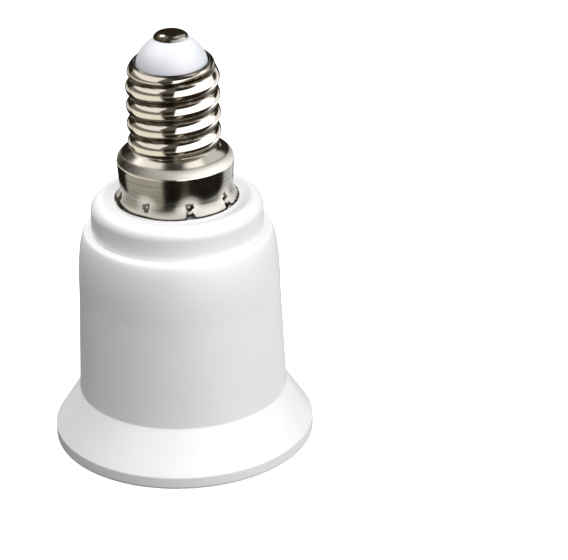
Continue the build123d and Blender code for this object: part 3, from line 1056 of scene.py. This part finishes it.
    def build(self) -> bpy.types.Object:
        """Makes the cap's sheet as one closed mesh.

        Returns:
            The cap's piece.
        """
        spots = self.spots()
        angle, height = spots.angle, spots.height
        still = self.crimp_level + self.lift_reach
        share = np.clip((still - height) / (still - self.hem_level), 0.0, 1.0)
        ending = step(height, self.fade_level, self.top_level)
        crooked = self.lip_raise * (1 + np.sin(angle + self.lip_turn)) * ending
        lift = self.hem.lift(spots)
        outer_height = height + lift * share**self.lift_power + crooked
        outer = self.outline(height, angle) + self.crimp_offsets(spots)
        inner = outer - self.sheet * (1 - self.lip_thinning * ending)
        drop = self.inner_drop * step(height, self.skirt_level, self.top_level)
        inner_height = outer_height - self.sheet * drop
        wear = self.wear(spots, lift, outer_height)
        last = len(height) - 1
        kept = np.unique(np.append(np.arange(0, last + 1, self.inner_row_step), last))
        maker = MeshMaker()
        outer_rows = maker.grid(self._places(outer, angle, outer_height), True, wear)
        inner_wear = {name: values[kept] for name, values in wear.items()}
        inner_places = self._places(inner, angle, inner_height)[kept]
        inner_rows = maker.grid(inner_places, True, inner_wear)
        maker.strip(outer_rows[0], inner_rows[0], True)
        maker.strip(outer_rows[-1], inner_rows[-1], True)
        return maker.build("rolled_cap", self.plate, sharp_angle=55.0)

    @staticmethod
    def _places(radius: np.ndarray, angle: np.ndarray, height: np.ndarray) -> np.ndarray:
        """Points in metres from radius, angle and height in millimetres."""
        return np.stack((radius * np.cos(angle), radius * np.sin(angle), height), axis=-1) * MM

    def dress(self) -> None:
        """Makes the cap's sheet and puts it in place."""
        cap = self.build()
        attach(cap, Body.ADAPTER.value)
        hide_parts("cap_shell")
        LOG.info("screw cap: %d faces", len(cap.data.polygons))


@dataclass
class InsulatorDome:
    """White dome moulded into the cap's open end, in millimetres."""

    base_radius: float = 5.27
    base_level: float = 59.1
    plug_radius: float = 5.6
    plug_level: float = 57.15
    shoulder_level: float = 58.6
    head_radius: float = 2.5
    head_level: float = 63.25
    bore_radius: float = 1.0
    plug_round: float = 0.3
    bulge: float = 0.62
    bulge_skew: float = 0.18
    rows: int = 48
    columns: int = 128
    white: GrainedFinish = GrainedFinish(
        "cap_dome_white", (0.70, 0.705, 0.745), (0.66, 0.67, 0.72), 0.28, 0.003
    )

    def profile(self) -> np.ndarray:
        """Half outline from the bore, round the plug and over the dome.

        Returns:
            Radius and height of each point.
        """
        share = np.linspace(0, 1, self.rows)
        run, rise = self.head_radius - self.base_radius, self.head_level - self.base_level
        length = math.hypot(run, rise)
        out = 4 * self.bulge * share * (1 - share) * (1 - self.bulge_skew * (2 * share - 1))
        radius = self.base_radius + run * share + out * rise / length
        height = self.base_level + rise * share - out * run / length
        plug = (
            (self.bore_radius, self.plug_level),
            (self.plug_radius - self.plug_round, self.plug_level),
            (self.plug_radius, self.plug_level + self.plug_round),
            (self.plug_radius, self.shoulder_level),
        )
        dome = np.column_stack((radius, height))
        return np.vstack((plug, dome, [(self.bore_radius, self.head_level)]))

    def dress(self) -> None:
        """Makes the dome and puts it in place."""
        maker = MeshMaker()
        outline = self.profile()
        maker.revolve(np.vstack((outline, outline[:1])), self.columns)
        dome = maker.build("insulator_dome", self.white, sharp_angle=40.0)
        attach(dome, Body.ADAPTER.value)
        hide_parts("cap_insulator")
        LOG.info("insulator dome: %d faces", len(dome.data.polygons))


@dataclass
class ContactNail:
    """Nickel nail whose domed head is the cap's end contact, in millimetres."""

    head_radius: float = 2.55
    seat_level: float = 63.2
    top_level: float = 64.3
    shank_radius: float = 1.0
    shank_end: float = 58.0
    columns: int = 96
    head_rows: int = 40
    rim_power: float = 0.92
    crown_power: float = 0.86
    # Painted shade on the head's rim, strongest on the front-left side.
    rim_shade_from: float = 1.75
    rim_shade_full: float = 0.9
    rim_shade_least: float = 0.12
    rim_shade_azimuth: float = 215.0
    nickel: NickelWithPaintedShade = NickelWithPaintedShade("contact_nickel_plate")

    def profile(self) -> np.ndarray:
        """Half outline from the shank's end to the top of the head.

        Returns:
            Radius and height of each point.
        """
        turn = np.linspace(0, math.pi / 2, self.head_rows)
        radius = self.head_radius * np.cos(turn) ** self.rim_power
        crown = (self.top_level - self.seat_level) * np.sin(turn) ** self.crown_power
        shank = (
            (0.0, self.shank_end),
            (self.shank_radius / 2, self.shank_end),
            (self.shank_radius, self.shank_end + self.shank_radius / 2),
            (self.shank_radius, self.seat_level),
        )
        return np.vstack((shank, np.column_stack((radius, self.seat_level + crown))))

    def dress(self) -> None:
        """Makes the nail and puts it in place."""
        outline = self.profile()
        # Painted shade darkens the head's rim, most on the front-left side.
        rim = step(outline[:, :1], self.rim_shade_from, self.head_radius * self.rim_shade_full)
        turn = turn_angles(self.columns) - math.radians(self.rim_shade_azimuth)
        uneven = self.rim_shade_least + (1 - self.rim_shade_least) * (0.5 + 0.5 * np.cos(turn))
        maker = MeshMaker()
        maker.revolve(outline, self.columns, {"tarnish_and_painted_shade": rim * uneven})
        nail = maker.build("contact_head", self.nickel, sharp_angle=35.0)
        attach(nail, Body.ADAPTER.value)
        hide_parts("cap_contact")
        LOG.info("contact nail: %d faces", len(nail.data.polygons))


def paint(node: bpy.types.Object, finish: Finish) -> None:
    """Gives a CAD node one finish.

    Args:
        node: The node's object.
        finish: The finish that it takes.
    """
    node.data.materials.clear()
    node.data.materials.append(finish.material())
    LOG.info("%s: %s", node.name, finish.name)


@dataclass
class HousingMoulding:
    """White one-piece housing and the plate inside it."""

    white: MouldedPlastic = MouldedPlastic("housing_white")
    inside: GrainedFinish = GrainedFinish(
        "carrier_white", (0.74, 0.72, 0.66), (0.68, 0.65, 0.58), 0.45
    )

    def dress(self, frame: Mapping[str, Any]) -> None:
        """Finishes the housing and its plate.
        """
        paint(frame["nodes"]["housing"], self.white)
        paint(frame["nodes"]["carrier_plate"], self.inside)


@dataclass
class SpringLeaf:
    """Folded brass strip that touches the lamp's tip, in millimetres."""

    corners: tuple[Pair, ...] = (
        (-11.2, 30.05),
        (-6.4, 30.05),
        (-1.7, 26.95),
        (1.7, 26.95),
        (2.8, 27.65),
    )
    bend_radius: float = 0.8
    bend_steps: int = 9
    sheet: float = 0.35
    width: float = 6.0
    taper: float = 1.6 / 10.3
    tip_round: float = 0.7
    tip_share: float = 0.6
    tip_steps: int = 7
    edge: float = 0.07
    flex_start: Triple = (-7.0, 0.0, 29.9)
    flex_end: Triple = (-5.6, 0.0, 29.4)
    brass: PolishedMetal = PolishedMetal(
        "leaf_brass", (0.82, 0.58, 0.27), (0.66, 0.42, 0.16), 0.2
    )

    def line(self) -> np.ndarray:
        """The strip's upper line with its bends rounded.

        Returns:
            X and Z of each point.
        """
        points = np.array(self.corners)
        path = [points[:1]]
        for before, corner, after in zip(points, points[1:], points[2:]):
            back, ahead = ((p - corner) / np.linalg.norm(p - corner) for p in (before, after))
            half = math.acos(float(np.clip(back @ ahead, -1, 1))) / 2
            reach = self.bend_radius / math.tan(half)
            inward = (back + ahead) / np.linalg.norm(back + ahead)
            middle = corner + inward * self.bend_radius / math.sin(half)
            first, last = (corner + way * reach - middle for way in (back, ahead))
            spokes = np.linspace(first, last, self.bend_steps)
            lengths = np.linalg.norm(spokes, axis=1)[:, None]
            path.append(middle + spokes / lengths * self.bend_radius)
        left = np.linspace(self.tip_share, 0, self.tip_steps)[:, None]
        return np.vstack((*path, points[-1] + (points[-2] - points[-1]) * left))

    def build(self) -> bpy.types.Object:
        """Makes the strip with broken edges and a rounded tip.

        Returns:
            The leaf's piece.
        """
        line = self.line()
        along = np.gradient(line, axis=0)
        along /= np.linalg.norm(along, axis=1)[:, None]
        down = np.column_stack((along[:, 1], -along[:, 0]))
        past_foot = np.clip(line[:, 0] - self.corners[1][0], 0, None)
        half = (self.width - self.taper * past_foot) / 2
        to_tip = np.linalg.norm(line - line[-1], axis=1)
        corner = np.clip(1 - to_tip / self.tip_round, 0, 1)
        half -= self.tip_round * (1 - np.sqrt(1 - corner**2)) * (line[:, 0] > 0)
        edge, sheet = self.edge, self.sheet
        upper = ((-1, edge, 0.0), (1, edge, 0.0), (1, 0.0, edge))
        right = ((1, 0.0, sheet - edge), (1, edge, sheet))
        left = ((-1, edge, sheet), (-1, 0.0, sheet - edge), (-1, 0.0, edge))
        ring = []
        for side, inset, depth in (*upper, *right, *left):
            place = line + down * depth
            ring.append(np.column_stack((place[:, 0], side * (half - inset), place[:, 1])))
        maker = MeshMaker()
        rows = maker.grid(np.stack(ring, axis=1) * MM, True)
        maker.faces += [tuple(int(i) for i in rows[0]), tuple(int(i) for i in rows[-1])]
        return maker.build("spring_leaf", self.brass, sharp_angle=35.0)

    def dress(self) -> None:
        """Makes the leaf."""
        leaf = self.build()
        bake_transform(leaf)
        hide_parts("centre_contact")
        LOG.info("spring leaf: %d faces", len(leaf.data.polygons))


@dataclass
class LampSocket:
    """Brass socket with its rivets and leads."""

    brass: PolishedMetal = PolishedMetal(
        "socket_brass", (0.86, 0.58, 0.22), (0.7, 0.42, 0.13), 0.16
    )
    rivet: PolishedMetal = PolishedMetal(
        "rivet_nickel_plate", (0.66, 0.64, 0.6), (0.5, 0.46, 0.4), 0.18
    )
    copper: PolishedMetal = PolishedMetal(
        "lead_copper", (0.8, 0.42, 0.24), (0.55, 0.26, 0.14), 0.25
    )
    sleeve: GrainedFinish = GrainedFinish(
        "lead_insulation", (0.78, 0.78, 0.76), (0.72, 0.72, 0.7), 0.5
    )

    def dress(self, frame: Mapping[str, Any]) -> None:
        """Finishes the socket's pieces.
        """
        finishes = {
            "socket_shell": self.brass,
            "shell_rivet": self.rivet,
            "contact_rivet": self.rivet,
            "shell_lead_wire": self.copper,
            "tip_lead_wire": self.copper,
            "shell_lead_sleeve": self.sleeve,
            "tip_lead_sleeve": self.sleeve,
        }
        for name, finish in finishes.items():
            paint(frame["nodes"][name], finish)


@dataclass(frozen=True)
class Card:
    """A card of the studio as the metal mirrors it: a patch of directions, in degrees."""

    azimuth: Pair
    elevation: Pair
    level: float
    tint: Colour = (1.0, 1.0, 1.0)
    soft: float = 10.0


@dataclass(frozen=True)
class Softbox:
    """A square area light."""

    name: str
    place: Triple
    aim: Triple
    size: float
    power: float

    def build(self) -> None:
        """Adds the light to the scene."""
        data = bpy.data.lights.new(self.name, "AREA")
        data.shape = "SQUARE"
        data.size = self.size
        data.energy = self.power
        lamp = bpy.data.objects.new(self.name, data)
        lamp.location = self.place
        towards = Vector(self.aim) - Vector(self.place)
        lamp.rotation_euler = towards.to_track_quat("-Z", "Y").to_euler()
        lamp.visible_glossy = False
        lamp.visible_camera = False
        bpy.context.scene.collection.objects.link(lamp)


@dataclass
class Studio:
    """Floor, lights, surroundings and camera.

    The offset is where the part's origin lies from the camera: right, down and ahead, in
    millimetres.
    """

    focal_pixels: float = 2400.0
    image_width: float = 568.0
    sensor_width: float = 36.0
    tilt: float = 25.52
    roll: float = -0.95
    offset: Triple = (-15.61, 22.05, 370.62)
    floor_size: float = 6.0
    floor_colour: Colour = (0.93, 0.93, 0.93)
    floor_roughness: float = 0.9
    floor_glow: float = 0.4
    surround: Colour = (0.022, 0.016, 0.010)
    cards: tuple[Card, ...] = (
        Card((-180.0, 180.0), (62.0, 91.0), 0.03, (1.0, 0.95, 0.90), 6.0),
        Card((-126.0, -27.0), (-2.0, 26.0), 0.20, (1.0, 0.90, 0.78), 6.0),
        Card((-132.0, -38.0), (24.0, 76.0), 0.95, (1.0, 0.945, 0.90), 6.0),
        Card((-154.0, -132.0), (22.0, 47.0), 0.08, (1.0, 0.95, 0.86), 8.0),
        Card((-152.0, -116.0), (-20.0, -3.0), 0.72, (1.0, 0.95, 0.86), 8.0),
        Card((-116.0, -26.0), (-62.0, -1.0), 0.92, (1.0, 0.95, 0.83), 11.0),
        Card((-38.0, 4.0), (30.0, 74.0), 0.10, (1.0, 0.90, 0.75), 6.0),
        Card((-27.0, 4.0), (-22.0, -4.0), 0.16, (1.0, 0.93, 0.80), 6.0),
        Card((4.0, 118.0), (-20.0, 49.0), 1.7, (1.0, 0.99, 0.97), 5.0),
        Card((4.0, 118.0), (11.0, 19.0), 1.05, (1.0, 0.98, 0.94), 7.0),
        Card((84.0, 150.0), (57.0, 80.0), 1.15, (1.0, 0.98, 0.93), 9.0),
        Card((114.0, 152.0), (25.0, 56.0), 0.62, (1.0, 0.98, 0.93), 8.0),
        Card((114.0, 152.0), (-20.0, 3.0), 0.95, (1.0, 0.98, 0.95), 8.0),
        Card((14.0, 28.0), (-64.0, -31.0), 0.34, (1.0, 0.92, 0.62), 8.0),
        Card((114.0, 160.0), (-64.0, -20.0), 1.3, (0.98, 0.98, 1.0), 12.0),
        Card((-156.0, -128.0), (44.0, 55.0), 4.5, (1.0, 0.98, 0.90), 4.0),
    )
    boxes: tuple[Softbox, ...] = (
        Softbox("top_box", (0.06, -0.06, 0.60), (0.0, 0.0, 0.03), 0.8, 3.4),
        Softbox("right_box", (0.40, -0.40, 0.24), (0.0, 0.0, 0.03), 0.7, 4.8),
        Softbox("left_box", (-0.42, -0.02, 0.56), (0.0, 0.0, 0.03), 0.5, 2.6),
        Softbox("back_box", (-0.06, 0.58, 0.26), (0.0, 0.0, 0.03), 0.7, 3.4),
    )

    def build_floor(self) -> None:
        """Adds the plain pale floor."""
        half = self.floor_size / 2
        mesh = bpy.data.meshes.new("floor")
        corners = [(-half, -half, 0), (half, -half, 0), (half, half, 0), (-half, half, 0)]
        mesh.from_pydata(corners, [], [(0, 1, 2, 3)])
        finish = bpy.data.materials.new("floor_pale")
        finish.use_nodes = True
        graph = NodeGraph(finish.node_tree)
        colour = (*self.floor_colour, 1.0)
        feeds = {
            "Base Color": colour,
            "Roughness": self.floor_roughness,
            "Emission Color": colour,
            "Emission Strength": self.floor_glow,
        }
        shader = graph.node("ShaderNodeBsdfPrincipled", {}, feeds)
        graph.raw("ShaderNodeOutputMaterial", {}, {"Surface": shader})
        mesh.materials.append(finish)
        floor = bpy.data.objects.new("floor", mesh)
        floor.visible_glossy = False
        floor.visible_diffuse = False
        bpy.context.scene.collection.objects.link(floor)

    def build_surround(self) -> None:
        """Adds the studio that the metal mirrors: dark, with bright cards."""
        world = bpy.data.worlds.new("studio")
        world.use_nodes = True
        bpy.context.scene.world = world
        world.cycles_visibility.diffuse = False
        graph = NodeGraph(world.node_tree)
        _, x, y, z = graph.axes("Generated")
        azimuth = x.angle_to(-y) * (180 / math.pi)
        elevation = z.arcsine() * (180 / math.pi)
        colour: Feed = (*self.surround, 1.0)
        for card in self.cards:
            share = azimuth.band(*card.azimuth, card.soft)
            share = share * elevation.band(*card.elevation, card.soft)
            colour = graph.blend(share, colour, tuple(card.level * c for c in card.tint))
        background = graph.node("ShaderNodeBackground", {}, {"Color": colour, "Strength": 1.0})
        graph.raw("ShaderNodeOutputWorld", {}, {"Surface": background})

    def build_camera(self) -> None:
        """Sets the camera where the photograph was taken."""
        tilt, roll = math.radians(self.tilt), math.radians(self.roll)
        right = Vector((1, 0, 0))
        down = Vector((0, -math.sin(tilt), -math.cos(tilt)))
        ahead = Vector((0, math.cos(tilt), -math.sin(tilt)))
        across, below, away = self.offset
        place = -(across * right + below * down + away * ahead) * MM
        turned_right = math.cos(roll) * right - math.sin(roll) * down
        turned_down = math.sin(roll) * right + math.cos(roll) * down
        data = bpy.data.cameras.new("camera")
        data.sensor_width = self.sensor_width
        data.lens = self.focal_pixels * self.sensor_width / self.image_width
        data.clip_start, data.clip_end = 0.01, 100.0
        camera = bpy.data.objects.new("camera", data)
        axes = Matrix((turned_right, -turned_down, -ahead)).transposed()
        camera.matrix_world = Matrix.Translation(place) @ axes.to_4x4()
        bpy.context.scene.collection.objects.link(camera)
        bpy.context.scene.camera = camera

    def build(self) -> None:
        """Builds the whole studio."""
        self.build_floor()
        self.build_surround()
        for box in self.boxes:
            box.build()
        self.build_camera()
        view = bpy.context.scene.view_settings
        view.view_transform = "Standard"
        view.look = "None"
        LOG.info("studio: %d lights, %d cards", len(self.boxes), len(self.cards))


def main() -> None:
    """Loads the frame and builds everything around it."""
    logging.basicConfig(level=logging.INFO, format="%(name)s: %(message)s")
    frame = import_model()
    HousingMoulding().dress(frame)
    LampSocket().dress(frame)
    SpringLeaf().dress()
    ScrewCap().dress()
    InsulatorDome().dress()
    ContactNail().dress()
    Studio().build()


if __name__ == "__main__":
    main()
